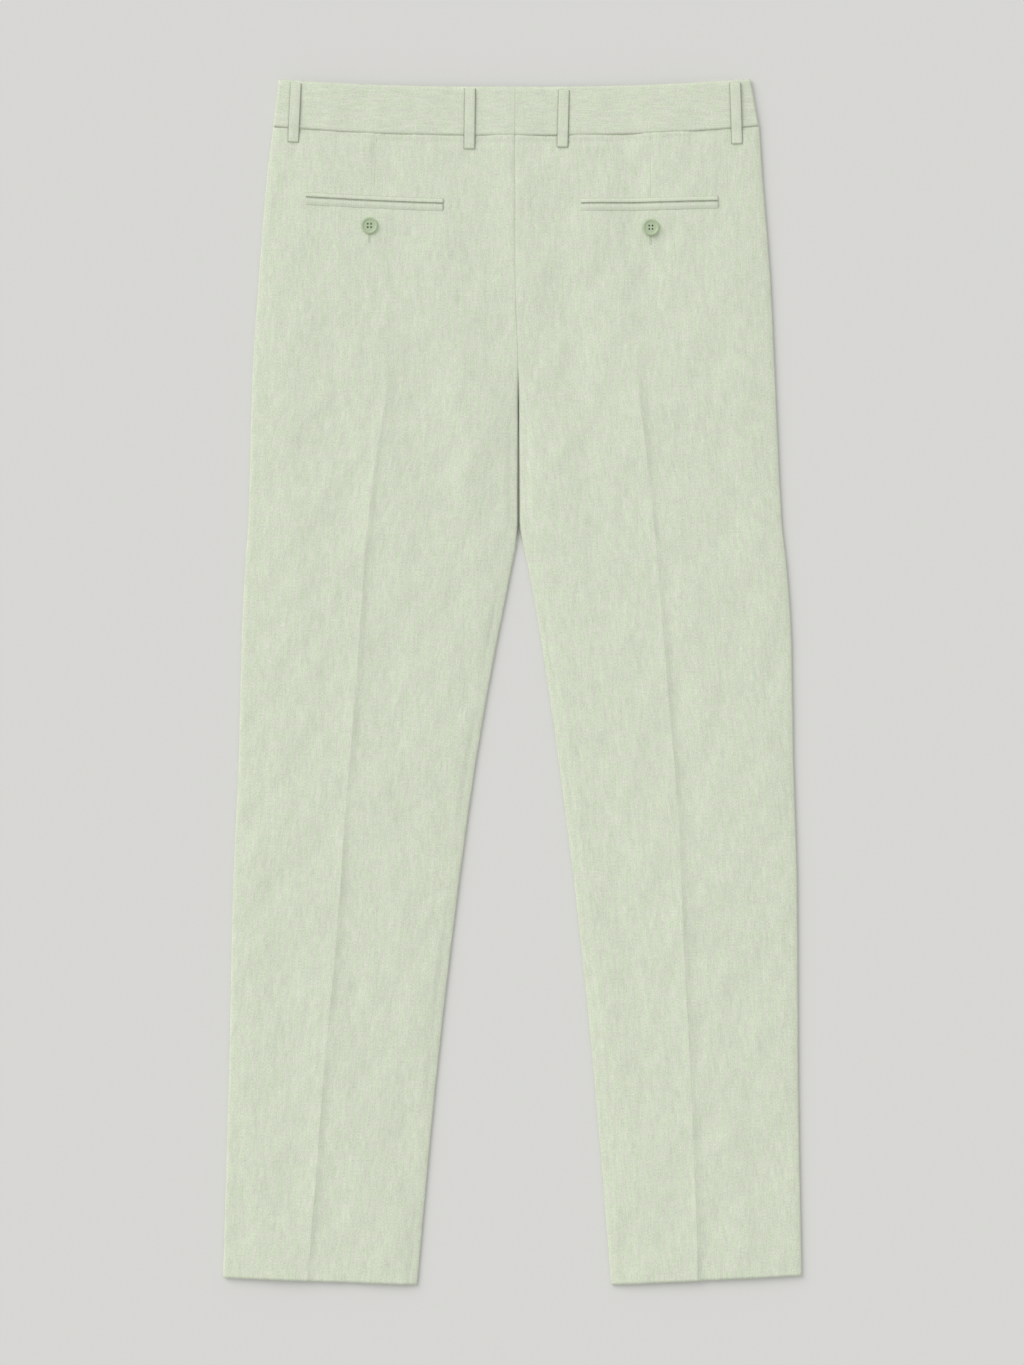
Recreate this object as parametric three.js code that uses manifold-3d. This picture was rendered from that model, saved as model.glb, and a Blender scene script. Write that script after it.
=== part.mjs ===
// Linen dress trousers laid flat on their front, with the back up. Millimetres.
// +X is towards the wearer's right, +Y towards the waist and +Z up from the surface they lie on.
// Two layers of cloth lie on each other: the fronts below, the backs above. They meet at the folds.
import * as THREE from "three";
import { mergeVertices } from "three/addons/utils/BufferGeometryUtils.js";
import Module from "manifold-3d";

const wasm = await Module();
wasm.setup();

const { clamp, lerp, smoothstep } = THREE.MathUtils;

// ---- Driving sizes ----

const cloth = {
  wall: 1.2, // thickness of the linen
  seamGap: 0.3, // clearance between two sewn pieces
  foldHeight: 3.9, // height of the folded edge along the side seam and inseam
  foldReach: 2.6, // how far the rounded edge of a fold runs in
  shoulder: 60, // distance over which the upper layer rises from a fold to its full height
};

const crease = {
  rise: 0.6, // height of the pressed ridge down each back leg
  flank: 17, // width of the slope on each side of it
  fadesFrom: 230, // full height below this level
  fadesTo: 330, // gone above this level
};

const waist = {
  topMiddle: 534.6, // level of the top edge at the centre back
  topSag: 7.3, // how much higher the top edge is at the sides
  seamMiddle: 490.8, // level of the waist seam at the centre back
  seamSag: 8, // how much higher the seam is at the sides
  halfWidth: 212,
  sagPower: 2.7,
  frontDrop: 8, // how much lower the front waist is at the centre front
  bandWall: 2, // thickness of the waistband
  bandFold: 4.7, // height of the folded band at the side
  bandHeight: 6.9, // height of the band's upper layer
};

const parting = { from: 300, to: 215 }; // levels between which the backs turn down into the two legs

const fly = {
  lap: 4, // how far the left front laps past the centre line
  length: 185, // from the front waist seam down
  ease: 20, // length over which the lap runs out
  tab: 34, // reach of the left waistband past the lap
  shieldWidth: 46,
  shieldOver: 6, // part of the shield that lies on the right front
  shieldWall: 1,
  tapeWidth: 28,
  tapeWall: 0.8,
  chainWidth: 5,
  chainWall: 1.6,
  sliderWidth: 9,
  sliderLength: 10,
};

const loop = {
  width: 10.3,
  wall: 1.5,
  bow: 1, // how far the middle stands off the band, for the belt
  steps: 8,
  flatWall: 1, // thickness of a front loop, pressed flat between the band and the surface
  recess: 7, // the front rises by a loop's thickness over this distance each side of the crease
  recessEdge: 20, // and is flat again at this one
  recessFoot: 485, // it is level with the loop above this level
  recessEnd: 468, // and flat again at this one
};

const jet = {
  upper: 4.4, // depth of the upper jet
  lower: 6.6,
  wall: 1,
  steps: 10,
};

const button = {
  radius: 7.5,
  thickness: 2.8,
  rim: 1.5, // width of the raised rim
  dish: 0.8, // depth of the face below the rim
  holeRadius: 0.85,
  holePitch: 3,
  sides: 28,
  holeSides: 8,
};

// One row for each level, from the top edge to the hem. "high" is the full height of the upper layer,
// "out", "crease" and "in" are the X of each leg's outer fold, pressed crease and inner fold, and
// "steps" is the number of facets down to the next row.
const levels = [
  { y: 542, high: 6.3, outL: -210, creaseL: -112, inL: 2.1, inR: 2.5, creaseR: 112, outR: 214, steps: 2 },
  { y: 499, high: 6.3, outL: -215, creaseL: -112, inL: 2.1, inR: 2.5, creaseR: 112, outR: 221.5, steps: 3 },
  { y: 452, high: 6.2, outL: -221, creaseL: -112, inL: 2.1, inR: 2.5, creaseR: 112, outR: 225, steps: 2 },
  { y: 362, high: 6.2, outL: -228, creaseL: -112, inL: 2.2, inR: 2.6, creaseR: 112, outR: 232, steps: 3 },
  { y: 276, high: 6.2, outL: -233.8, creaseL: -113, inL: 5.1, inR: 5.5, creaseR: 114, outR: 236, steps: 4 },
  { y: 140, high: 6.1, outL: -237.5, creaseL: -129, inL: 5.4, inR: 5.8, creaseR: 128, outR: 242.5, steps: 2 },
  { y: 110, high: 6, outL: -240, creaseL: -132, inL: 0.5, inR: 13, creaseR: 131, outR: 246, steps: 2 },
  { y: 38, high: 5.9, outL: -243.5, creaseL: -136.5, inL: -14, inR: 26, creaseR: 137, outR: 251, steps: 2 },
  { y: -70, high: 5.8, outL: -246, creaseL: -145, inL: -33, inR: 41.5, creaseR: 145.5, outR: 252.6, steps: 2 },
  { y: -178, high: 5.7, outL: -251, creaseL: -153, inL: -48, inR: 55.5, creaseR: 152.5, outR: 256, steps: 3 },
  { y: -358, high: 5.5, outL: -255, creaseL: -169, inL: -69, inR: 74, creaseR: 161, outR: 257, steps: 3 },
  { y: -542, high: 5.2, outL: -260, creaseL: -183, inL: -86, inR: 89, creaseR: 167, outR: 260, steps: 0 },
];

// One row for each leg: its column names, and the level of its hem at the two folds.
const legs = {
  left: { out: "outL", crease: "creaseL", in: "inL", side: -1, hemOut: -535.4, hemIn: -542 },
  right: { out: "outR", crease: "creaseR", in: "inR", side: 1, hemOut: -533.4, hemIn: -542 },
};

// One row for each belt loop: X at its top and foot, and their distances below the top edge and the seam.
// The front ones lie over the front creases.
const loops = [
  { name: "belt_loop_side_left", layer: "back", topX: -194.4, footX: -196.8, topBelow: 3, footBelow: 12 },
  { name: "belt_loop_back_left", layer: "back", topX: -38, footX: -38.7, topBelow: 2, footBelow: 12 },
  { name: "belt_loop_back_right", layer: "back", topX: 46.2, footX: 44.9, topBelow: 3.4, footBelow: 10.5 },
  { name: "belt_loop_side_right", layer: "back", topX: 199.8, footX: 201.7, topBelow: 3, footBelow: 14 },
  { name: "belt_loop_front_left", layer: "front", topX: -112, footX: -112, topBelow: 3, footBelow: 12 },
  { name: "belt_loop_front_right", layer: "front", topX: 112, footX: 112, topBelow: 3, footBelow: 12 },
];

// One row for each hip pocket: X and level of the two ends of its mouth, and the centre of its button.
const pockets = [
  { side: "left", outX: -185, outY: 435.4, inX: -62, inY: 429.6, buttonX: -128.2, buttonY: 409.6 },
  { side: "right", outX: 184.6, outY: 432.1, inX: 61.8, inY: 429.8, buttonX: 124.3, buttonY: 408 },
];

// Share of the way from a fold to the crease for each column of the upper and the lower layer.
const backColumns = [0, 0.07, 0.18, 0.36, 0.6, 0.85, 1];
const frontColumns = [0, 0.4, 0.82, 0.93, 1];
const foldSteps = 3;

// ---- Finishes ----

const linen = new THREE.MeshStandardMaterial({ color: 0xd2d9c5, roughness: 0.9, metalness: 0 });
const buttonGreen = new THREE.MeshStandardMaterial({ color: 0xa6b692, roughness: 0.55, metalness: 0 });
const zipGreen = new THREE.MeshStandardMaterial({ color: 0xb7c0a6, roughness: 0.7, metalness: 0 });

// ---- Form of the two layers ----

// A column of the levels table at any level, without overshoot between its rows.
function at(column, y) {
  const rows = levels;
  const level = clamp(y, rows[rows.length - 1].y, rows[0].y);
  const i = Math.max(1, rows.findIndex((row) => row.y <= level));
  const slope = (k) => (rows[k][column] - rows[k - 1][column]) / (rows[k].y - rows[k - 1].y);
  const tangent = (k) => {
    if (k === 0 || k === rows.length - 1) return slope(Math.max(k, 1));
    const before = slope(k);
    const after = slope(k + 1);
    return before * after > 0 ? (2 * before * after) / (before + after) : 0;
  };
  const span = rows[i].y - rows[i - 1].y;
  const t = (level - rows[i - 1].y) / span;
  const rise = t * t * (3 - 2 * t);
  const leaving = t * (1 - t) * (1 - t) * span * tangent(i - 1);
  const arriving = t * t * (t - 1) * span * tangent(i);
  return lerp(rows[i - 1][column], rows[i][column], rise) + leaving + arriving;
}

const loft = (distance) => 1 - (1 - clamp(distance / cloth.shoulder, 0, 1)) ** 2;
const partingAt = (y) => 1 - smoothstep(y, parting.to, parting.from);
const sag = (x) => (Math.abs(x) / waist.halfWidth) ** waist.sagPower;
const topEdge = (x) => waist.topMiddle + waist.topSag * sag(x);
const waistSeam = (x) => waist.seamMiddle + waist.seamSag * sag(x);
const toSide = (x) => smoothstep(Math.abs(x), 0, waist.halfWidth - cloth.foldReach);
const frontDrop = (x) => waist.frontDrop * (1 - toSide(x));
const frontSeam = (x) => waistSeam(x) - frontDrop(x);

// X of the lapped front edges, which leave the centre line down to the foot of the fly.
function lapAt(y) {
  const foot = frontSeam(0) - fly.length;
  return fly.lap * smoothstep(y, foot - fly.ease, foot);
}

// Height of the outside of the back over a point.
function backTop(leg, x, y) {
  const fromOut = Math.abs(x - at(leg.out, y));
  const fromIn = Math.abs(x - at(leg.in, y));
  const swell = loft(fromOut) * lerp(1, loft(fromIn), partingAt(y));
  const pressed = 1 - smoothstep(y, crease.fadesFrom, crease.fadesTo);
  const ridge = Math.max(0, 1 - Math.abs(x - at(leg.crease, y)) / crease.flank);
  const full = at("high", y) - cloth.foldHeight;
  return cloth.foldHeight + full * swell + crease.rise * ridge * pressed;
}

// Height of the outside of the waistband's back over a point.
function bandTop(x, y) {
  const leg = x < 0 ? legs.left : legs.right;
  return lerp(waist.bandFold, waist.bandHeight, loft(Math.abs(x - at(leg.out, y))));
}

// How far the front layer stands up over the belt loop under it.
function frontLift(leg, x, y) {
  const beside = 1 - smoothstep(Math.abs(x - at(leg.crease, y)), loop.recess, loop.recessEdge);
  return (loop.flatWall + cloth.seamGap) * beside * smoothstep(y, loop.recessEnd, loop.recessFoot);
}

// Levels of the rows of facets between two levels of the table.
function rowsBetween(first, last) {
  const rows = [];
  for (let i = first; i < last; i++) {
    const { y, steps } = levels[i];
    for (let k = 0; k < steps; k++) rows.push(lerp(y, levels[i + 1].y, k / steps));
  }
  return [...rows, levels[last].y];
}

// ---- Closed solids ----

// Turns the faces of a closed geometry outwards.
function facingOut(geometry) {
  const index = geometry.index.array;
  const position = geometry.attributes.position;
  const [a, b, c] = [new THREE.Vector3(), new THREE.Vector3(), new THREE.Vector3()];
  let volume = 0;
  for (let i = 0; i < index.length; i += 3) {
    a.fromBufferAttribute(position, index[i]);
    b.fromBufferAttribute(position, index[i + 1]);
    c.fromBufferAttribute(position, index[i + 2]);
    volume += a.dot(b.cross(c));
  }
  if (volume < 0) index.reverse();
  return geometry;
}

// A wall of cloth between two grids of points, with its four edges closed.
function wallBetween(outside, inside) {
  const rows = outside.length;
  const columns = outside[0].length;
  const points = [...outside.flat(), ...inside.flat()];
  const index = [];
  const out = (i, j) => i * columns + j;
  const inn = (i, j) => rows * columns + out(i, j);
  const quad = (a, b, c, d) => index.push(a, b, c, a, c, d);
  for (let i = 0; i < rows - 1; i++) {
    for (let j = 0; j < columns - 1; j++) {
      quad(out(i, j), out(i, j + 1), out(i + 1, j + 1), out(i + 1, j));
      quad(inn(i, j), inn(i + 1, j), inn(i + 1, j + 1), inn(i, j + 1));
    }
  }
  for (let j = 0; j < columns - 1; j++) {
    quad(out(0, j), inn(0, j), inn(0, j + 1), out(0, j + 1));
    quad(out(rows - 1, j), out(rows - 1, j + 1), inn(rows - 1, j + 1), inn(rows - 1, j));
  }
  for (let i = 0; i < rows - 1; i++) {
    quad(out(i, 0), out(i + 1, 0), inn(i + 1, 0), inn(i, 0));
    quad(out(i, columns - 1), inn(i, columns - 1), inn(i + 1, columns - 1), out(i + 1, columns - 1));
  }
  const geometry = new THREE.BufferGeometry().setFromPoints(points);
  geometry.setIndex(index);
  return facingOut(geometry);
}

// One closed geometry as a solid that can be joined and cut.
function solidOf(geometry) {
  const bare = new THREE.BufferGeometry().setAttribute("position", geometry.attributes.position);
  const merged = mergeVertices(bare.setIndex(geometry.index));
  return new wasm.Manifold(
    new wasm.Mesh({
      numProp: 3,
      vertProperties: merged.attributes.position.array,
      triVerts: new Uint32Array(merged.index.array),
    }),
  );
}

function geometryOf(solid) {
  const mesh = solid.getMesh();
  const geometry = new THREE.BufferGeometry();
  geometry.setAttribute("position", new THREE.BufferAttribute(mesh.vertProperties, 3));
  geometry.setIndex(new THREE.BufferAttribute(mesh.triVerts, 1));
  return geometry;
}

// X of each column of facets from an outer fold, past the crease, to an inner edge.
function columnsAcross(out, pressed, inner, shares) {
  const fromIn = shares.slice(0, -1).reverse();
  const outside = shares.map((share) => lerp(out, pressed, share));
  return [...outside, ...fromIn.map((share) => lerp(inner, pressed, share))];
}

// ---- Leg panels ----

// The rounded edge of a sheet, from its level top (k 0) to its turned edge (k 1). "amount" is 0 for a
// flat cut edge and 1 for an edge turned through a right angle to just above half the fold's height.
function turnedEdge(edgeX, inward, top, k, amount) {
  const { wall, foldReach, foldHeight, seamGap } = cloth;
  const angle = (k * Math.PI) / 2;
  const depth = top - foldHeight / 2 - seamGap / 2;
  const reach = foldReach * (1 - Math.sin(angle));
  const innerReach = wall + (foldReach - wall) * (1 - Math.sin(angle));
  const drop = 1 - Math.cos(angle);
  const flatX = edgeX + inward * foldReach * (1 - k);
  return {
    outside: [lerp(flatX, edgeX + inward * reach, amount), lerp(top, top - depth * drop, amount)],
    inside: [
      lerp(flatX, edgeX + inward * innerReach, amount),
      lerp(top - wall, top - wall - (depth - wall) * drop, amount),
    ],
  };
}

// One cross-section of a leg's layer, from its outer fold to its inner one, as pairs of X and Z.
function sectionOf(leg, y, columns, shift, topAt) {
  const out = at(leg.out, y);
  const inner = at(leg.in, y) + shift - (leg.side * cloth.seamGap) / 2;
  const middle = at(leg.crease, y);
  const inward = -leg.side;
  const section = [];
  for (let k = foldSteps; k > 0; k--) {
    section.push(turnedEdge(out, inward, topAt(out), k / foldSteps, 1));
  }
  const level = (x) => ({ outside: [x, topAt(x)], inside: [x, topAt(x) - cloth.wall] });
  const outStart = out + inward * cloth.foldReach;
  const inStart = inner - inward * cloth.foldReach;
  for (const x of columnsAcross(outStart, middle, inStart, columns)) section.push(level(x));
  for (let k = 1; k <= foldSteps; k++) {
    section.push(turnedEdge(inner, -inward, topAt(inner), k / foldSteps, partingAt(y)));
  }
  return section;
}

// Level of a point of a panel, whose first row follows the waist seam and whose last one follows the hem.
function levelAt(leg, x, y, seam) {
  const [waistRow, pocketRow] = [levels[1].y, levels[2].y];
  const [calfRow, hemRow] = [levels[levels.length - 2].y, levels[levels.length - 1].y];
  const across = clamp((x - at(leg.out, hemRow)) / (at(leg.in, hemRow) - at(leg.out, hemRow)), 0, 1);
  const nearWaist = clamp((y - pocketRow) / (waistRow - pocketRow), 0, 1);
  const nearHem = clamp((y - calfRow) / (hemRow - calfRow), 0, 1);
  const seamShift = seam(x) - cloth.seamGap / 2 - waistRow;
  const hemShift = lerp(leg.hemOut, leg.hemIn, across) - hemRow;
  return y + seamShift * nearWaist + hemShift * nearHem;
}

function panel(leg, columns, seam, shiftAt, topAt, placeZ) {
  const grids = { outside: [], inside: [] };
  for (const y of rowsBetween(1, levels.length - 1)) {
    const section = sectionOf(leg, y, columns, shiftAt(y), (x) => topAt(x, y));
    for (const face of ["outside", "inside"]) {
      const point = ([x, z]) => new THREE.Vector3(x, levelAt(leg, x, y, seam), placeZ(x, y, z));
      grids[face].push(section.map((pair) => point(pair[face])));
    }
  }
  return wallBetween(grids.outside, grids.inside);
}

function backPanel(leg) {
  const topAt = (x, y) => backTop(leg, x, y);
  return panel(leg, backColumns, waistSeam, () => 0, topAt, (x, y, z) => z);
}

function frontPanel(leg) {
  const placeZ = (x, y, z) => cloth.foldHeight - z + frontLift(leg, x, y);
  return panel(leg, frontColumns, frontSeam, lapAt, () => cloth.foldHeight, placeZ);
}

// ---- Waistband ----

// Half of the band, from the centre back over the top, round the side fold and under to its front end.
function waistband(leg, frontEnd) {
  const { bandWall, bandFold } = waist;
  const inward = -leg.side;
  const centre = at(leg.in, levels[0].y) - (leg.side * cloth.seamGap) / 2;
  const radius = bandFold / 2;
  const foldTurns = 6;
  const grids = { outside: [], inside: [] };
  for (const up of [0, 0.5, 1]) {
    const level = lerp(levels[1].y, levels[0].y, up);
    const pressed = at(leg.crease, level);
    const start = at(leg.out, level) + inward * radius;
    const row = { outside: [], inside: [] };
    const put = (face, x, z, drop) => {
      const bottom = waistSeam(x) + cloth.seamGap / 2;
      row[face].push(new THREE.Vector3(x, lerp(bottom, topEdge(x), up) - drop, z));
    };
    for (const x of columnsAcross(start, pressed, centre, backColumns).reverse()) {
      put("outside", x, bandTop(x, level), 0);
      put("inside", x, bandTop(x, level) - bandWall, 0);
    }
    for (let k = 1; k < foldTurns; k++) {
      const angle = (k * Math.PI) / foldTurns;
      for (const [face, wall] of [["outside", 0], ["inside", bandWall]]) {
        const reach = (radius - wall) * Math.sin(angle);
        const z = lerp(bandTop(start, level) - wall, wall, (1 - Math.cos(angle)) / 2);
        put(face, start - inward * reach, z, 0);
      }
    }
    const short = (x) => leg.side * (x - frontEnd) > cloth.foldReach;
    for (const x of [...columnsAcross(start, pressed, centre, frontColumns).filter(short), frontEnd]) {
      const z = frontLift(leg, x, level);
      put("outside", x, z, frontDrop(x));
      put("inside", x, z + bandWall, frontDrop(x));
    }
    grids.outside.push(row.outside);
    grids.inside.push(row.inside);
  }
  return wallBetween(grids.outside, grids.inside);
}

// ---- What lies on the panels ----

// A strip of cloth laid along a path of points, "wall" thick and standing "lift" off what it lies on.
function strip(path, across, width, wall, surface, lift) {
  const grids = { outside: [], inside: [] };
  for (const [i, centre] of path.entries()) {
    const along = lift(i / (path.length - 1));
    const rows = { outside: [], inside: [] };
    for (const share of [-0.5, 0, 0.5]) {
      const foot = centre.clone().addScaledVector(across, share * width);
      const z = surface(foot.x, foot.y) + cloth.seamGap + along;
      rows.inside.push(new THREE.Vector3(foot.x, foot.y, z));
      rows.outside.push(new THREE.Vector3(foot.x, foot.y, z + wall));
    }
    grids.outside.push(rows.outside);
    grids.inside.push(rows.inside);
  }
  return wallBetween(grids.outside, grids.inside);
}

// Height of the outside of the back, band and panel together.
function backSurface(x, y) {
  const leg = x < at("inL", y) ? legs.left : legs.right;
  return y > waistSeam(x) - cloth.seamGap ? bandTop(x, y) : backTop(leg, x, y);
}

function beltLoop({ layer, topX, footX, topBelow, footBelow }) {
  const drop = layer === "front" ? frontDrop(topX) : 0;
  const top = new THREE.Vector3(topX, topEdge(topX) - topBelow - drop, 0);
  const foot = new THREE.Vector3(footX, waistSeam(footX) - footBelow - drop, 0);
  const path = [];
  for (let k = 0; k <= loop.steps; k++) path.push(top.clone().lerp(foot, k / loop.steps));
  const along = foot.clone().sub(top).normalize();
  const across = new THREE.Vector3(-along.y, along.x, 0);
  const bow = (k) => loop.bow * Math.sin(Math.PI * k);
  if (layer === "back") return strip(path, across, loop.width, loop.wall, backSurface, bow);
  return strip(path, across, loop.width, loop.flatWall, () => -cloth.seamGap, () => 0);
}

function pocketJet(pocket, depth, upwards) {
  const out = new THREE.Vector3(pocket.outX, pocket.outY, 0);
  const inn = new THREE.Vector3(pocket.inX, pocket.inY, 0);
  const along = inn.clone().sub(out).normalize();
  const up = new THREE.Vector3(-along.y, along.x, 0).multiplyScalar(Math.sign(along.x) * upwards);
  const middle = up.clone().multiplyScalar((depth + cloth.seamGap) / 2);
  const path = [];
  for (let k = 0; k <= jet.steps; k++) path.push(out.clone().lerp(inn, k / jet.steps).add(middle));
  return strip(path, up, depth, jet.wall, backSurface, () => 0);
}

// A round four-hole button with a raised rim, standing on its back.
function hipButton() {
  const { radius, thickness, rim, dish } = button;
  const face = thickness - dish;
  const profile = [
    [0, 0],
    [radius - 1, 0],
    [radius, 0.9],
    [radius, thickness - 0.8],
    [radius - 0.5, thickness],
    [radius - rim, thickness - 0.1],
    [radius - rim - 1, face],
    [0, face],
  ].map(([r, z]) => new THREE.Vector2(r, z));
  const disc = new THREE.LatheGeometry(profile, button.sides).rotateX(Math.PI / 2);
  let solid = solidOf(facingOut(disc));
  for (const [dx, dy] of [[-1, -1], [-1, 1], [1, -1], [1, 1]]) {
    const { holeRadius, holePitch, holeSides } = button;
    const hole = new THREE.CylinderGeometry(holeRadius, holeRadius, thickness * 3, holeSides);
    hole.rotateX(Math.PI / 2).translate((dx * holePitch) / 2, (dy * holePitch) / 2, 0);
    solid = solid.subtract(solidOf(hole));
  }
  return geometryOf(solid);
}

// ---- Fly ----

// Foot of the front waist seam on the fly, and the X of the lapped edge there.
const flyTop = frontSeam(0) - cloth.seamGap;
const flyX = (at("inL", flyTop) + at("inR", flyTop)) / 2 + fly.lap;

function box(width, length, thickness, x, y, z) {
  return new THREE.BoxGeometry(width, length, thickness).translate(x, y - length / 2, z + thickness / 2);
}

// Zip, face down on the fronts: tape, closed chain and slider.
function flyZip() {
  const z = cloth.wall + cloth.seamGap;
  const length = fly.length - fly.ease;
  const tape = solidOf(box(fly.tapeWidth, length, fly.tapeWall, flyX, flyTop - 4, z));
  const chain = solidOf(box(fly.chainWidth, length - 8, fly.chainWall, flyX, flyTop - 8, z));
  const slider = solidOf(box(fly.sliderWidth, fly.sliderLength, fly.chainWall, flyX, flyTop - 6, z));
  return geometryOf(tape.add(chain).add(slider));
}

// Cloth behind the zip, sewn to the right front, with one lower corner rounded.
function flyShield() {
  const { shieldWidth, shieldOver, length } = fly;
  const bottom = flyTop - length;
  const right = flyX + shieldOver;
  const left = right - shieldWidth;
  const corner = shieldWidth * 0.6;
  const shape = new THREE.Shape();
  shape.moveTo(left, flyTop);
  shape.lineTo(left, bottom + corner);
  shape.quadraticCurveTo(left, bottom, left + corner, bottom);
  shape.lineTo(right, bottom);
  shape.lineTo(right, flyTop);
  const z = cloth.wall + 2 * cloth.seamGap + fly.chainWall;
  return new THREE.ExtrudeGeometry(shape, {
    depth: fly.shieldWall,
    bevelEnabled: false,
    curveSegments: 6,
  }).translate(0, 0, z);
}

// ---- The garment ----

const trousers = new THREE.Group();

function add(name, geometry, material, place) {
  const mesh = new THREE.Mesh(geometry, material);
  mesh.name = name;
  if (place) mesh.position.set(...place);
  trousers.add(mesh);
}

add("back_left", backPanel(legs.left), linen);
add("back_right", backPanel(legs.right), linen);
add("front_left", frontPanel(legs.left), linen);
add("front_right", frontPanel(legs.right), linen);
add("waistband_left", waistband(legs.left, flyX + fly.tab - cloth.seamGap / 2), linen);
add("waistband_right", waistband(legs.right, flyX + fly.tab + cloth.seamGap / 2), linen);

for (const row of loops) add(row.name, beltLoop(row), linen);

for (const pocket of pockets) {
  const name = "hip_pocket_" + pocket.side;
  add(name + "_upper_jet", pocketJet(pocket, jet.upper, 1), linen);
  add(name + "_lower_jet", pocketJet(pocket, jet.lower, -1), linen);
  const z = backSurface(pocket.buttonX, pocket.buttonY) + cloth.seamGap;
  add("hip_button_" + pocket.side, hipButton(), buttonGreen, [pocket.buttonX, pocket.buttonY, z]);
}

add("fly_zip", flyZip(), zipGreen);
add("fly_shield", flyShield(), linen);

export default trousers;
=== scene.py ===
# Linen dress trousers laid flat on their front, seen from straight above
import bmesh
import bpy
import math
import random
import numpy as np
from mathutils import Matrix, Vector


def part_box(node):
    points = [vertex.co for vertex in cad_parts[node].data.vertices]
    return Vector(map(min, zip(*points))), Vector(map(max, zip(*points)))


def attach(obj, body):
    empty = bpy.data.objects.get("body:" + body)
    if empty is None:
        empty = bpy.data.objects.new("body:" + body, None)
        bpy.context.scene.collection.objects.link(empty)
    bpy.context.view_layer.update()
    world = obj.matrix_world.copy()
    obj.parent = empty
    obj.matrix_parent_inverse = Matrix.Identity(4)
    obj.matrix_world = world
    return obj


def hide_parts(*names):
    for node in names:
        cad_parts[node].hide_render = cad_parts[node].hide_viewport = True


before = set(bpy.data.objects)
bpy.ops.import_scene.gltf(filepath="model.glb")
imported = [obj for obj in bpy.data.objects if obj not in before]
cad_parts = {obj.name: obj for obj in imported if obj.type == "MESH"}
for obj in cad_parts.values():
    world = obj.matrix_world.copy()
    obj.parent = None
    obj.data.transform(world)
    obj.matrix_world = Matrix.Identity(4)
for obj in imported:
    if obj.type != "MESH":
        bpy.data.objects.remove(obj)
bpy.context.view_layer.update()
print("frame loaded:", len(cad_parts), "pieces")

panelSizes = {
    "wall": 0.0010,          # thickness of the linen
    "columns": 84,           # facets across a leg
    "rows": 400,             # facets down a leg
    "frontColumns": 44,
    "frontRows": 200,
    "foldHeight": 0.0039,
    "foldReach": 0.0024,
    "gap": 0.0003,
    "tuck": 0.0004,          # how far a leg runs in under the waistband
    "shoulder": 0.055,
    "valley": 0.0006,        # each leg stands this far off the other below the seat
    "turns": 8,              # facets round a turned edge
}
creaseSizes = {
    "rise": 0.0024,
    "litFlank": 0.0150,
    "darkFlank": 0.0030,
    "blunt": 0.0008,
    "fadeTop": 0.330,
    "fadeBottom": 0.225,
}


def verticesOf(node):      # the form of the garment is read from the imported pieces
    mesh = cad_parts[node].data
    points = np.empty(len(mesh.vertices) * 3)
    mesh.vertices.foreach_get("co", points)
    return points.reshape(-1, 3)


def edgesOf(node):
    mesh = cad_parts[node].data
    ends = np.empty(len(mesh.edges) * 2, dtype=int)
    mesh.edges.foreach_get("vertices", ends)
    return ends.reshape(-1, 2)


def sliceWidths(node, levels):   # lowest and highest X of a piece at each level
    points, ends = verticesOf(node), edgesOf(node)
    a, b = points[ends[:, 0]], points[ends[:, 1]]
    widths = []
    for level in levels:
        crossing = (a[:, 1] - level) * (b[:, 1] - level) < 0
        p, q = a[crossing], b[crossing]
        share = (level - p[:, 1]) / (q[:, 1] - p[:, 1])
        x = p[:, 0] + share * (q[:, 0] - p[:, 0])
        widths.append((x.min(), x.max()))
    return np.array(widths)


def smooth(low, high, value):
    k = np.clip((value - low) / (high - low), 0, 1)
    return k * k * (3 - 2 * k)


def bell(distance, width):
    return np.exp(-(distance / width) ** 2)


# lengths run along Y, from the hem at the bottom to the waist at the top
legLevels = {"bottom": -0.542, "hemStraight": -0.530, "nearHem": -0.358, "partBottom": 0.215, "partTop": 0.300,
             "nearWaist": 0.452, "waistStraight": 0.484, "top": 0.499}
sampleLevels = np.linspace(legLevels["hemStraight"], legLevels["waistStraight"], 130)
sideOf = {"left": -1, "right": 1}
outline = {}
for sideName, side in sideOf.items():
    widths = sliceWidths("back_" + sideName, sampleLevels)
    outer, inner = (widths[:, 0], widths[:, 1]) if side < 0 else (widths[:, 1], widths[:, 0])
    outline[sideName] = {"outer": outer, "inner": inner}


def edgeAt(sideName, edge, y):      # X of a leg's outer or inner edge, carried on past its last straight row
    levels, values = sampleLevels, outline[sideName][edge]
    x = np.interp(y, levels, values)
    lowSlope = (values[3] - values[0]) / (levels[3] - levels[0])
    highSlope = (values[-1] - values[-4]) / (levels[-1] - levels[-4])
    return x + np.minimum(y - levels[0], 0) * lowSlope + np.maximum(y - levels[-1], 0) * highSlope


def partingAt(y):      # 1 where the legs are apart, 0 where they are one seat
    return 1 - smooth(legLevels["partBottom"], legLevels["partTop"], y)


def loft(distance):
    return 1 - (1 - np.clip(distance / panelSizes["shoulder"], 0, 1)) ** 2


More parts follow.
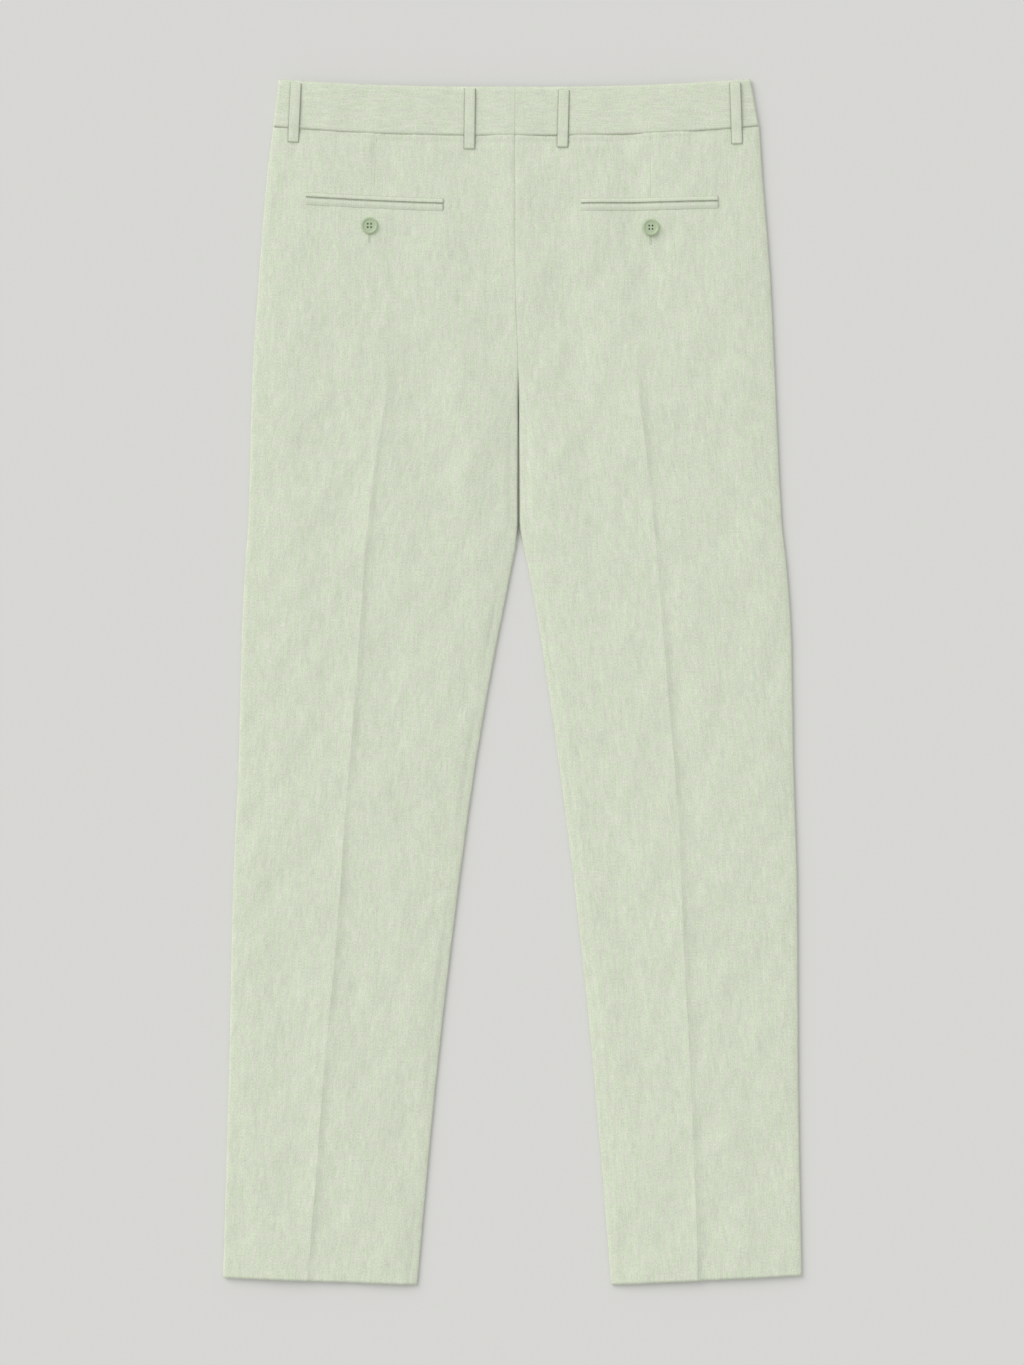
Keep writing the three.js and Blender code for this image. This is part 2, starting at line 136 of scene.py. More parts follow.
# where the pressed crease runs down each leg, one row for each level, from the hem up
creaseRun = [
    {"y": -0.542, "left": -0.1832, "right": 0.1670},
    {"y": -0.502, "left": -0.1800, "right": 0.1665},
    {"y": -0.358, "left": -0.1690, "right": 0.1610},
    {"y": -0.227, "left": -0.1566, "right": 0.1542},
    {"y": -0.123, "left": -0.1495, "right": 0.1505},
    {"y": -0.002, "left": -0.1390, "right": 0.1400},
    {"y": 0.110, "left": -0.1320, "right": 0.1310},
    {"y": 0.182, "left": -0.1245, "right": 0.1240},
    {"y": 0.254, "left": -0.1125, "right": 0.1150},
    {"y": 0.330, "left": -0.1115, "right": 0.1120},
]


def creaseAt(sideName, y):
    return np.interp(y, [row["y"] for row in creaseRun], [row[sideName] for row in creaseRun])


# soft rises and hollows placed one by one: centre, reach across and along, lean and height
backSwells = [
    {"x": -0.030, "y": 0.255, "wide": 0.020, "long": 0.045, "lean": -0.10, "high": 0.0011},
    {"x": 0.030, "y": 0.300, "wide": 0.018, "long": 0.040, "lean": 0.35, "high": -0.0009},
    {"x": 0.010, "y": 0.330, "wide": 0.007, "long": 0.035, "lean": -0.25, "high": -0.0009},
    {"x": -0.095, "y": 0.330, "wide": 0.030, "long": 0.030, "lean": 0.30, "high": 0.0006},
    {"x": 0.060, "y": 0.330, "wide": 0.022, "long": 0.020, "lean": 0.60, "high": -0.0006},
    {"x": -0.045, "y": 0.180, "wide": 0.014, "long": 0.050, "lean": 0.15, "high": 0.0006},
    {"x": 0.140, "y": 0.270, "wide": 0.030, "long": 0.060, "lean": 0.30, "high": 0.0005},
    {"x": -0.190, "y": 0.370, "wide": 0.012, "long": 0.070, "lean": 0.05, "high": 0.0006},
    {"x": 0.205, "y": 0.360, "wide": 0.010, "long": 0.060, "lean": -0.08, "high": 0.0006},
    {"x": -0.100, "y": 0.020, "wide": 0.022, "long": 0.040, "lean": 0.40, "high": -0.0005},
    {"x": 0.070, "y": -0.006, "wide": 0.018, "long": 0.022, "lean": -0.50, "high": -0.0006},
    {"x": -0.110, "y": -0.150, "wide": 0.020, "long": 0.030, "lean": 0.50, "high": -0.0005},
    {"x": 0.105, "y": -0.190, "wide": 0.018, "long": 0.040, "lean": -0.40, "high": -0.0005},
    {"x": -0.215, "y": -0.100, "wide": 0.014, "long": 0.120, "lean": 0.00, "high": 0.0005},
    {"x": 0.215, "y": -0.060, "wide": 0.014, "long": 0.110, "lean": 0.02, "high": 0.0005},
    {"x": -0.215, "y": -0.330, "wide": 0.016, "long": 0.090, "lean": 0.03, "high": -0.0004},
    {"x": 0.205, "y": -0.300, "wide": 0.016, "long": 0.100, "lean": 0.03, "high": -0.0004},
    {"x": 0.212, "y": -0.478, "wide": 0.014, "long": 0.026, "lean": 0.30, "high": -0.0010},
    {"x": 0.128, "y": -0.440, "wide": 0.014, "long": 0.050, "lean": 0.10, "high": 0.0005},
    {"x": -0.130, "y": -0.420, "wide": 0.016, "long": 0.060, "lean": -0.12, "high": 0.0005},
    {"x": -0.105, "y": -0.480, "wide": 0.014, "long": 0.035, "lean": 0.45, "high": -0.0005},
]


def swellAt(x, y):
    height = 0
    for row in backSwells:
        dx, dy = x - row["x"], y - row["y"]
        height = height + row["high"] * bell(dx - row["lean"] * dy, row["wide"]) * bell(dy, row["long"])
    return height


rippleSizes = {"seed": 7, "lengths": (0.075, 0.034, 0.016), "heights": (0.00022, 0.00010, 0.000045),
               "each": 9, "alongGrain": 0.45}
randomWaves = random.Random(rippleSizes["seed"])
waves = []
for scale, size in zip(rippleSizes["lengths"], rippleSizes["heights"]):
    for _ in range(rippleSizes["each"]):
        turn = randomWaves.uniform(0, math.pi)
        phase = randomWaves.uniform(0, 2 * math.pi)
        pitch = 2 * math.pi / (scale * randomWaves.uniform(0.8, 1.3))
        waves.append((pitch * math.cos(turn), pitch * math.sin(turn) * rippleSizes["alongGrain"], phase, size))


def ripple(x, y):      # the faint unevenness of cloth that was pressed and then laid down
    return sum(size * np.sin(kx * x + ky * y + phase) for kx, ky, phase, size in waves)


waistLine = {"topMiddle": 0.5346, "topSag": 0.0073, "seamMiddle": 0.4908, "seamSag": 0.008, "half": 0.212,
             "power": 2.7, "frontDrop": 0.008, "dropTo": 0.2094}


def sag(x):
    return (np.abs(x) / waistLine["half"]) ** waistLine["power"]


def topEdge(x):
    return waistLine["topMiddle"] + waistLine["topSag"] * sag(x)


def waistSeam(x):
    return waistLine["seamMiddle"] + waistLine["seamSag"] * sag(x)


def frontDrop(x):      # the front of the waist is cut lower than the back
    return waistLine["frontDrop"] * (1 - smooth(0, waistLine["dropTo"], np.abs(x)))


def highAt(y):      # full height of the upper layer
    return np.interp(y, [-0.542, -0.178, 0.110, 0.276, 0.542], [0.0052, 0.0057, 0.0060, 0.0062, 0.0063])


# each pocket's mouth slopes down to its inner end; both are read from the boxes of the jets and the button
jetDepths = {"upper": 0.0044, "lower": 0.0066, "halfGap": 0.00015}
pocketTable = {}
for sideName, side in sideOf.items():
    low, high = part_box("hip_pocket_" + sideName + "_lower_jet")
    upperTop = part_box("hip_pocket_" + sideName + "_upper_jet")[1][1]
    outX, inX = (low[0], high[0]) if side < 0 else (high[0], low[0])
    outY = upperTop - jetDepths["upper"] - jetDepths["halfGap"]
    inY = low[1] + jetDepths["lower"] + jetDepths["halfGap"]
    buttonLow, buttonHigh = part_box("hip_button_" + sideName)
    pocketTable[sideName] = {"out": (outX, outY), "in": (inX, inY),
                             "button": ((buttonLow[0] + buttonHigh[0]) / 2, (buttonLow[1] + buttonHigh[1]) / 2)}

dartSizes = {
    "left": {"x": -0.1232, "lean": 0.045}, "right": {"x": 0.1239, "lean": 0},
    "from": 0.49, "fade": (0.4325, 0.445),
    "dipAndPaintedShade": 0.00045, "ditchWide": 0.0013, "swell": 0.0002, "swellWide": 0.005,
}
seamSizes = {"waist": 0.00055, "waistWide": 0.0016, "centre": 0.00042, "centreWide": 0.0014,
             "centreFade": (0.30, 0.46), "edgeCalm": 0.02}


def backHeight(sideName, x, y):
    outer, inner, fold = edgeAt(sideName, "outer", y), edgeAt(sideName, "inner", y), creaseAt(sideName, y)
    swell = loft(np.abs(x - outer)) * (1 + (loft(np.abs(inner - x)) - 1) * partingAt(y))
    pressed = 1 - smooth(creaseSizes["fadeBottom"], creaseSizes["fadeTop"], y)
    offCrease = np.sqrt((x - fold) ** 2 + creaseSizes["blunt"] ** 2)
    flank = np.where(x < fold, creaseSizes["litFlank"], creaseSizes["darkFlank"])
    sharp = np.exp(-offCrease / flank)
    wander = 0.75 + 0.25 * np.sin(41 * y + sideOf[sideName]) * np.sin(17 * y + 1)
    height = panelSizes["foldHeight"] + (highAt(y) - panelSizes["foldHeight"]) * swell
    outCalm = smooth(0, seamSizes["edgeCalm"], np.abs(x - outer))
    inCalm = 1 - partingAt(y) * (1 - smooth(0, seamSizes["edgeCalm"], np.abs(x - inner)))
    height = height + (swellAt(x, y) + ripple(x, y)) * (outCalm * inCalm)
    height = height + creaseSizes["rise"] * sharp * pressed * wander
    # the dart between the waist seam and the pocket
    dart = dartSizes[sideName]
    offDart = x - (dart["x"] - (dartSizes["from"] - y) * dart["lean"])
    dartOn = smooth(*dartSizes["fade"], y)
    height = height - dartSizes["dipAndPaintedShade"] * bell(offDart, dartSizes["ditchWide"]) * dartOn
    height = height + dartSizes["swell"] * bell(offDart, dartSizes["swellWide"]) * dartOn
    # the ditches of the waist seam and the centre seam
    height = height - seamSizes["waist"] * bell(waistSeam(x) - y, seamSizes["waistWide"])
    seamOn = (1 - partingAt(y)) * (0.35 + 0.65 * smooth(*seamSizes["centreFade"], y))
    return height - seamSizes["centre"] * bell(np.abs(x - inner), seamSizes["centreWide"]) * seamOn


print("form read from the frame")


def clothGrid(name, points, uvs, wall, dipAndPaintedShade=None):      # points: rows x columns x 3
    rows, columns = points.shape[:2]
    mesh = bpy.data.meshes.new(name)
    index = np.arange(rows * columns).reshape(rows, columns)
    faces = np.stack([index[:-1, :-1], index[:-1, 1:], index[1:, 1:], index[1:, :-1]], axis=-1).reshape(-1, 4)
    mesh.from_pydata(points.reshape(-1, 3).tolist(), [], faces.tolist())
    layer = mesh.uv_layers.new(name="grain")
    loops = np.empty(len(mesh.loops), dtype=int)
    mesh.loops.foreach_get("vertex_index", loops)
    layer.data.foreach_set("uv", uvs.reshape(-1, 2)[loops].ravel())
    mesh.update()
    # the optional mask of painted shade, stored for the linen material
    if dipAndPaintedShade is not None:
        mesh.attributes.new("dipAndPaintedShade", "FLOAT", "POINT").data.foreach_set("value", dipAndPaintedShade.ravel())
    piece = bpy.data.objects.new(name, mesh)
    bpy.context.scene.collection.objects.link(piece)
    mesh.polygons.foreach_set("use_smooth", [True] * len(mesh.polygons))
    thicken = piece.modifiers.new("cloth wall", "SOLIDIFY")
    thicken.thickness = wall
    thicken.offset = -1
    thicken.use_even_offset = False
    applyModifiers(piece)
    return piece


def applyModifiers(piece):
    graph = bpy.context.evaluated_depsgraph_get()
    made = bpy.data.meshes.new_from_object(piece.evaluated_get(graph), depsgraph=graph)
    piece.modifiers.clear()
    old = piece.data
    piece.data = made
    made.name = piece.name
    bpy.data.meshes.remove(old)


def finishPiece(piece, material, replaced=()):
    piece.data.materials.clear()
    piece.data.materials.append(material)
    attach(piece, "root")
    if replaced:
        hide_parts(*replaced)


linenLook = {
    "colour": (0.742, 0.797, 0.638),   # linear, pale sage
    "green": (0.965, 1.012, 0.955),    # the two tones that the cloth wanders between
    "grey": (1.03, 0.992, 1.045),
    "thread": 0.00085,       # pitch of the weave
    "slubDepth": 0.24,
    "melange": 0.08,
    "roughness": 0.88,
    "sheen": 0.12,
    "sheenRoughness": 0.5,
    "specular": 0.25,
    "bump": 0.25,
    "bumpHeight": 0.0002,
    "dipAndPaintedShade": 0.5,            # painted shade: how much darker the colour is painted where the cloth dips into a seam or a gap
}
# layers of tone in the weave: scale across and along the grain, shift, noise detail and share of the whole
weaveLayers = {
    "slub": {"scale": (900, 85, 1), "shift": (0, 0, 0), "detail": 2.0, "share": 1},
    "weft": {"scale": (60, 900, 1), "shift": (3, 7, 0), "detail": 1.0, "share": 0.35},
    "fleck": {"scale": (420, 150, 1), "shift": (5, 9, 0), "detail": 2.0, "share": 0.55},
    "streak": {"scale": (260, 45, 1), "shift": (8, 2, 0), "detail": 3.0, "share": 0.8},
    "thread": {"scale": (1250, 620, 1), "shift": (4, 1, 0), "detail": 1.0, "share": 1.9},
    "cloud": {"scale": (110, 48, 1), "shift": (11, 5, 0), "detail": 3.0, "share": 1},
    "hue": {"scale": (190, 95, 1), "shift": (2, 13, 0), "detail": 2.0, "share": 1.6},
}
reliefShares = {"weave": 0.25, "slub": 2.2}


def newGroup(name, inputs, outputs):
    group = bpy.data.node_groups.new(name, "ShaderNodeTree")
    for label, kind, value in inputs:
        socket = group.interface.new_socket(label, in_out="INPUT", socket_type=kind)
        if value is not None:
            socket.default_value = value
    for label, kind in outputs:
        group.interface.new_socket(label, in_out="OUTPUT", socket_type=kind)
    return group, group.nodes.new("NodeGroupInput"), group.nodes.new("NodeGroupOutput")


def mathNode(tree, operation, a, b=None, c=None):
    node = tree.nodes.new("ShaderNodeMath")
    node.operation = operation
    for place, value in enumerate((a, b, c)):
        if value is None:
            continue
        if isinstance(value, (int, float)):
            node.inputs[place].default_value = value
        else:
            tree.links.new(value, node.inputs[place])
    return node.outputs[0]


def noiseNode(tree, vector, scale, detail):
    node = tree.nodes.new("ShaderNodeTexNoise")
    node.inputs["Scale"].default_value = scale
    node.inputs["Detail"].default_value = detail
    node.inputs["Roughness"].default_value = 0.5
    tree.links.new(vector, node.inputs["Vector"])
    return node.outputs["Fac"]


def scaledVector(tree, vector, scale, shift):
    node = tree.nodes.new("ShaderNodeMapping")
    node.inputs["Scale"].default_value = scale
    node.inputs["Location"].default_value = shift
    tree.links.new(vector, node.inputs["Vector"])
    return node.outputs[0]


def scaledColour(tree, colour, factor):
    node = tree.nodes.new("ShaderNodeVectorMath")
    node.operation = "SCALE"
    if isinstance(colour, tuple):
        node.inputs[0].default_value = colour
    else:
        tree.links.new(colour, node.inputs[0])
    tree.links.new(factor, node.inputs["Scale"])
    return node.outputs[0]


def buildWeaveGroup():      # tone, tint and relief over a vector in metres, its Y along the grain
    group, inside, outside = newGroup(
        "linen weave",
        [("Vector", "NodeSocketVector", None), ("Slub Depth", "NodeSocketFloat", 0.07),
         ("Melange", "NodeSocketFloat", 0.05)],
        [("Shade", "NodeSocketFloat"), ("Tint", "NodeSocketFloat"), ("Relief", "NodeSocketFloat")])
    vector = inside.outputs["Vector"]

    def layer(name):      # one layer of noise, centred on nought
        row = weaveLayers[name]
        noise = noiseNode(group, scaledVector(group, vector, row["scale"], row["shift"]), 1.0, row["detail"])
        centred = mathNode(group, "SUBTRACT", noise, 0.5)
        return centred if row["share"] == 1 else mathNode(group, "MULTIPLY", centred, row["share"])

    slub = layer("slub")
    tone = slub
    for name in ("weft", "fleck", "streak", "thread"):
        tone = mathNode(group, "ADD", tone, layer(name))
    shade = mathNode(group, "MULTIPLY", tone, inside.outputs["Slub Depth"])
    patch = mathNode(group, "MULTIPLY", layer("cloud"), inside.outputs["Melange"])
    shade = mathNode(group, "ADD", mathNode(group, "ADD", shade, patch), 1.0)
    group.links.new(shade, outside.inputs["Shade"])
    group.links.new(mathNode(group, "ADD", layer("hue"), 0.5), outside.inputs["Tint"])
    # plain weave: warp and weft cross over each other
    split = group.nodes.new("ShaderNodeSeparateXYZ")
    group.links.new(vector, split.inputs[0])
    pitch = 2 * math.pi / linenLook["thread"]
    warp = mathNode(group, "SINE", mathNode(group, "MULTIPLY", split.outputs[0], pitch))
    weft = mathNode(group, "SINE", mathNode(group, "MULTIPLY", split.outputs[1], pitch))
    cross = mathNode(group, "MULTIPLY", mathNode(group, "MULTIPLY", warp, weft), reliefShares["weave"])
    relief = mathNode(group, "ADD", cross, mathNode(group, "MULTIPLY", slub, reliefShares["slub"]))
    group.links.new(relief, outside.inputs["Relief"])
    return group


weaveGroup = buildWeaveGroup()


def linenMaterial(name, slubShare):
    material = bpy.data.materials.new(name)
    material.use_nodes = True
    tree = material.node_tree
    shader = tree.nodes["Principled BSDF"]
    shader.inputs["Roughness"].default_value = linenLook["roughness"]
    shader.inputs["Sheen Weight"].default_value = linenLook["sheen"]
    shader.inputs["Sheen Roughness"].default_value = linenLook["sheenRoughness"]
    shader.inputs["Specular IOR Level"].default_value = linenLook["specular"]
    grain = tree.nodes.new("ShaderNodeUVMap")
    grain.uv_map = "grain"
    weave = tree.nodes.new("ShaderNodeGroup")
    weave.node_tree = weaveGroup
    weave.inputs["Slub Depth"].default_value = linenLook["slubDepth"] * slubShare
    weave.inputs["Melange"].default_value = linenLook["melange"]
    tree.links.new(grain.outputs[0], weave.inputs["Vector"])
    blend = tree.nodes.new("ShaderNodeMix")
    blend.data_type = "RGBA"
    for socket, tone in (("A", "green"), ("B", "grey")):
        blend.inputs[socket].default_value = [c * t for c, t in zip(linenLook["colour"], linenLook[tone])] + [1]
    tree.links.new(weave.outputs["Tint"], blend.inputs["Factor"])
    shaded = scaledColour(tree, blend.outputs["Result"], weave.outputs["Shade"])
    # painted shade: the mask darkens the base colour in seams, in gaps and along rolled edges
    mask = tree.nodes.new("ShaderNodeAttribute")
    mask.attribute_name = "dipAndPaintedShade"
    sunk = mathNode(tree, "MULTIPLY_ADD", mask.outputs["Fac"], -linenLook["dipAndPaintedShade"], 1.0)
    tree.links.new(scaledColour(tree, shaded, sunk), shader.inputs["Base Color"])
    bump = tree.nodes.new("ShaderNodeBump")
    bump.inputs["Strength"].default_value = linenLook["bump"]
    bump.inputs["Distance"].default_value = linenLook["bumpHeight"]
    tree.links.new(weave.outputs["Relief"], bump.inputs["Height"])
    tree.links.new(bump.outputs[0], shader.inputs["Normal"])
    return material


def mottledMaterial(name, colour, roughness, grainScale, grainDepth):
    material = bpy.data.materials.new(name)
    material.use_nodes = True
    tree = material.node_tree
    shader = tree.nodes["Principled BSDF"]
    shader.inputs["Roughness"].default_value = roughness
    place = tree.nodes.new("ShaderNodeTexCoord")
    noise = noiseNode(tree, place.outputs["Object"], grainScale, 3.0)
    span = tree.nodes.new("ShaderNodeMapRange")
    span.inputs["To Min"].default_value = 1 - grainDepth
    span.inputs["To Max"].default_value = 1 + grainDepth
    tree.links.new(noise, span.inputs["Value"])
    tree.links.new(scaledColour(tree, colour, span.outputs[0]), shader.inputs["Base Color"])
    return material


linen = linenMaterial("linen", 1.0)
linenTrim = linenMaterial("linen trim", 0.8)
buttonResin = mottledMaterial("button resin", (0.50, 0.60, 0.40), 0.40, 700, 0.06)
threadLook = mottledMaterial("sewing thread", (0.52, 0.58, 0.43), 0.8, 2500, 0.1)
seamShade = mottledMaterial("thread in shade", (0.20, 0.26, 0.14), 0.85, 2500, 0.1)
zipLook = mottledMaterial("zip tape", (0.45, 0.52, 0.38), 0.7, 1500, 0.08)
print("materials made")


def turnedProfile(edgeX, inward, top, k, amount, reach):      # rounded edge of the upper layer, k from 0 to 1
    angle = k * math.pi / 2
    depth = top - panelSizes["foldHeight"] / 2 - panelSizes["gap"] / 2
    flatX = edgeX + inward * reach * (1 - k)
    x = flatX + (edgeX + inward * reach * (1 - math.sin(angle)) - flatX) * amount
    z = top - depth * (1 - math.cos(angle)) * amount
    return x, z


hemLevels = {"left": {"out": -0.5354, "in": -0.5420}, "right": {"out": -0.5334, "in": -0.5420}}


def bentLevel(sideName, x, y, seam):      # rows are straight but for the waist seam and the slanted hem
    bottom, top = legLevels["bottom"], legLevels["top"]
    outer, inner = edgeAt(sideName, "outer", bottom), edgeAt(sideName, "inner", bottom)
    across = np.clip((x - outer) / (inner - outer), 0, 1)
    hem = hemLevels[sideName]["out"] + (hemLevels[sideName]["in"] - hemLevels[sideName]["out"]) * across
    nearWaist = np.clip((y - legLevels["nearWaist"]) / (top - legLevels["nearWaist"]), 0, 1)
    nearHem = np.clip((y - legLevels["nearHem"]) / (bottom - legLevels["nearHem"]), 0, 1)
    return y + (seam(x) + panelSizes["tuck"] - top) * nearWaist + (hem - bottom) * nearHem


def frontSeam(x):
    return waistSeam(x) - frontDrop(x)


frontSizes = {"lap": 0.004, "lapFrom": (0.278, 0.298), "recess": 0.0013, "recessFlat": 0.007, "recessEdge": 0.020,
              "recessFrom": (0.468, 0.485), "press": 0.00025, "pressWide": 0.004, "pressFade": (0.40, 0.46)}
valleySizes = {"apart": (0.285, 0.16), "until": (0.06, 0.13), "roll": 0.007,
               "shadeFrom": (0.290, 0.250), "shadeTo": (0.118, 0.142), "shades": (1.3, 1.1, 0.35)}


def legPanel(sideName, back):
    side = sideOf[sideName]
    inward = -side
    columns = panelSizes["columns"] if back else panelSizes["frontColumns"]
    rows = panelSizes["rows"] if back else panelSizes["frontRows"]
    turns, reach, foldHeight = panelSizes["turns"], panelSizes["foldReach"], panelSizes["foldHeight"]
    levels = np.linspace(legLevels["bottom"], legLevels["top"], rows + 1)
    part = partingAt(levels)
    outer, inner = edgeAt(sideName, "outer", levels), edgeAt(sideName, "inner", levels)
    if back:      # the legs roll away from each other below the seat
        apart = smooth(*valleySizes["apart"], levels) * smooth(*valleySizes["until"], levels)
        inner = inner + side * panelSizes["valley"] * apart
        inReach = reach + valleySizes["roll"] * part
    else:         # the left front laps over the right one at the fly
        inner = inner + frontSizes["lap"] * smooth(*frontSizes["lapFrom"], levels)
        inReach = reach
    xs, zs = [], []
    creaseX = creaseAt(sideName, levels)
    eased = 1 - (1 - np.linspace(0, 1, columns // 2 + 1)) ** 1.35      # columns closer together by the crease

    def heightAt(x):
        return backHeight(sideName, x, levels) if back else np.full_like(x, foldHeight)

    outTop, inTop = heightAt(outer), heightAt(inner)
    outStart, inStart = outer + inward * reach, inner - inward * inReach
    for k in np.linspace(1, 0, turns, endpoint=False):
        x, z = turnedProfile(outer, inward, outTop, k, 1.0, reach)
        xs.append(x)
        zs.append(z)
    for start, shares in ((outStart, eased), (inStart, eased[::-1][1:])):
        for share in shares:
            xs.append(start + (creaseX - start) * share)
            zs.append(heightAt(xs[-1]))
    for k in np.linspace(0, 1, turns + 1)[1:]:
        flatTop = heightAt(inner - inward * inReach * (1 - k))
        x, z = turnedProfile(inner, -inward, flatTop + (inTop - flatTop) * part, k, part, inReach)
        xs.append(x)
        zs.append(z)
    x, z = np.stack(xs, axis=1), np.stack(zs, axis=1)
    y = bentLevel(sideName, x, levels[:, None], waistSeam if back else frontSeam)
    if not back:
        offCrease = np.abs(x - creaseX[:, None])
        z = foldHeight - z
        # a shallow recess over each front belt loop, and a pressed crease that barely shows from below
        beside = 1 - smooth(frontSizes["recessFlat"], frontSizes["recessEdge"], offCrease)
        z = z + frontSizes["recess"] * beside * smooth(*frontSizes["recessFrom"], levels)[:, None]
        pressed = bell(offCrease, frontSizes["pressWide"]) * (1 - smooth(*frontSizes["pressFade"], y))
        z = z + frontSizes["press"] * (1 - pressed)
    points = np.stack([x, y, z], axis=2)
    # the grain: cloth length across from the middle, and along
    stepX, stepZ = np.diff(x, axis=1, prepend=x[:, :1]), np.diff(z, axis=1, prepend=z[:, :1])
    across = np.cumsum(np.hypot(stepX, stepZ), axis=1)
    centre = across[:, [turns + columns // 2]]
    uv = np.stack([across - centre + 0.31 * (side + 2) + (0 if back else 1.7), y], axis=2)
    # painted shade where the two legs part: the three columns at the inner edge are darkened near the fork
    dipAndPaintedShade = np.zeros(x.shape)
    shaded = smooth(*valleySizes["shadeFrom"], levels) * smooth(*valleySizes["shadeTo"], levels)
    for fromEdge, share in enumerate(valleySizes["shades"]):
        dipAndPaintedShade[:, -1 - fromEdge] = shaded * share
    if (side > 0) == back:      # columns run the way that faces the cloth outwards
        points, uv, dipAndPaintedShade = points[:, ::-1], uv[:, ::-1], dipAndPaintedShade[:, ::-1]
    return points, uv, dipAndPaintedShade


for sideName in sideOf:
    for back in (True, False):
        nodeName = ("back_" if back else "front_") + sideName
        points, uv, dipAndPaintedShade = legPanel(sideName, back)
        piece = clothGrid(nodeName + "_linen", points, uv, panelSizes["wall"], dipAndPaintedShade)
        finishPiece(piece, linen, [nodeName])
        length, widths = float(np.ptp(points[:, :, 1])), np.ptp(uv[:, :, 0], axis=1)


bandSizes = {
    "wall": 0.0019,
    "fold": 0.0047,
    "high": 0.0069,
    "rows": 22,
    "columns": 96,
    "deep": 0.044,           # finished height of the band
    "bottom": 0.499,         # levels that the ripples are read at
    "tall": 0.043,
    "taper": {"left": 0.005, "right": -0.0075},      # the band narrows to its top edge
    "roll": 0.0004,
    "sideFacets": 12,
    "frontLoop": 0.112,      # how far from the middle each front belt loop lies
}


def bandRise(fromEdge):
    return bandSizes["fold"] + (bandSizes["high"] - bandSizes["fold"]) * loft(fromEdge)


def bandHeight(sideName, x, y):
    fromEdge = np.abs(x - edgeAt(sideName, "outer", y))
    return bandRise(fromEdge) + 0.6 * ripple(x, y) * smooth(0, seamSizes["edgeCalm"], fromEdge)


def columnShares(count):      # closer together towards both ends
    k = np.linspace(-1, 1, count + 1)
    return 0.5 + 0.5 * np.sign(k) * (1 - (1 - np.abs(k)) ** 1.5)


def waistbandGrid(sideName):      # over the back, round the side fold and under to the front
    side = sideOf[sideName]
    inward, radius, facets = -side, bandSizes["fold"] / 2, bandSizes["sideFacets"]
    centre = float(edgeAt(sideName, "inner", legLevels["waistStraight"]))
    low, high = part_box("waistband_" + sideName)
    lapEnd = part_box("waistband_left")[1][0]
    frontEnd = lapEnd if side < 0 else lapEnd + panelSizes["gap"]
    shares = columnShares(bandSizes["columns"])
    ups = np.linspace(0, 1, bandSizes["rows"] + 1)
    rows = []
    for up in ups:
        level = bandSizes["bottom"] + bandSizes["tall"] * up
        edge = (low[0] if side < 0 else high[0]) + bandSizes["taper"][sideName] * up
        start = edge + inward * radius
        overX = start + (centre - start) * shares[::-1]
        fromEdge = np.abs(overX - edge)
        overZ = bandRise(fromEdge) + 0.5 * ripple(overX, level) * smooth(0, seamSizes["edgeCalm"], fromEdge)
        angles = np.arange(1, facets) * math.pi / facets
        roundX = start - inward * radius * np.sin(angles)
        roundZ = overZ[-1] * (1 + np.cos(angles)) / 2
        underX = start + (frontEnd - start) * shares
        offLoop = np.abs(underX - side * bandSizes["frontLoop"])      # a recess over each front belt loop
        underZ = frontSizes["recess"] * (1 - smooth(frontSizes["recessFlat"], frontSizes["recessEdge"], offLoop))
        x = np.concatenate([overX, roundX, underX])
        z = np.concatenate([overZ, roundZ, underZ])
        drop = np.concatenate([np.zeros(len(overX) + len(roundX)), frontDrop(underX)])
        bottom = waistSeam(x) + panelSizes["gap"] / 2
        rows.append(np.stack([x, bottom + (topEdge(x) - bottom) * up - drop, z], axis=1))
    points = np.stack(rows)
    # the long edges roll over a little at the seam and at the top fold
    roll = bandSizes["roll"] * (bell(ups, 0.035) + bell(1 - ups, 0.03))
    points[:, :bandSizes["columns"] + 1, 2] -= roll[:, None]
    steps = np.diff(points[:, :, [0, 2]], axis=1, prepend=points[:, :1, [0, 2]])
    length = np.cumsum(np.linalg.norm(steps, axis=2), axis=1)
    uv = np.stack([points[:, :, 1] + 3.1 * side, length + 0.7], axis=2)
    if side < 0:
        points, uv = points[:, ::-1], uv[:, ::-1]
    return points, uv


for sideName in sideOf:
    points, uv = waistbandGrid(sideName)
    piece = clothGrid("waistband_" + sideName + "_linen", points, uv, bandSizes["wall"])
    length = float(np.ptp(uv[:, :, 1]))
    finishPiece(piece, linen, ["waistband_" + sideName])
print("waistband made")


def surfaceAt(x, y):      # top of the cloth, on the back or on the band
    sideName = "left" if x < float(edgeAt("left", "inner", y)) else "right"
    if y > float(waistSeam(x)):
        return float(bandHeight(sideName, np.array(x), np.array(y)))
    return float(backHeight(sideName, np.array(float(x)), np.array(float(y))))
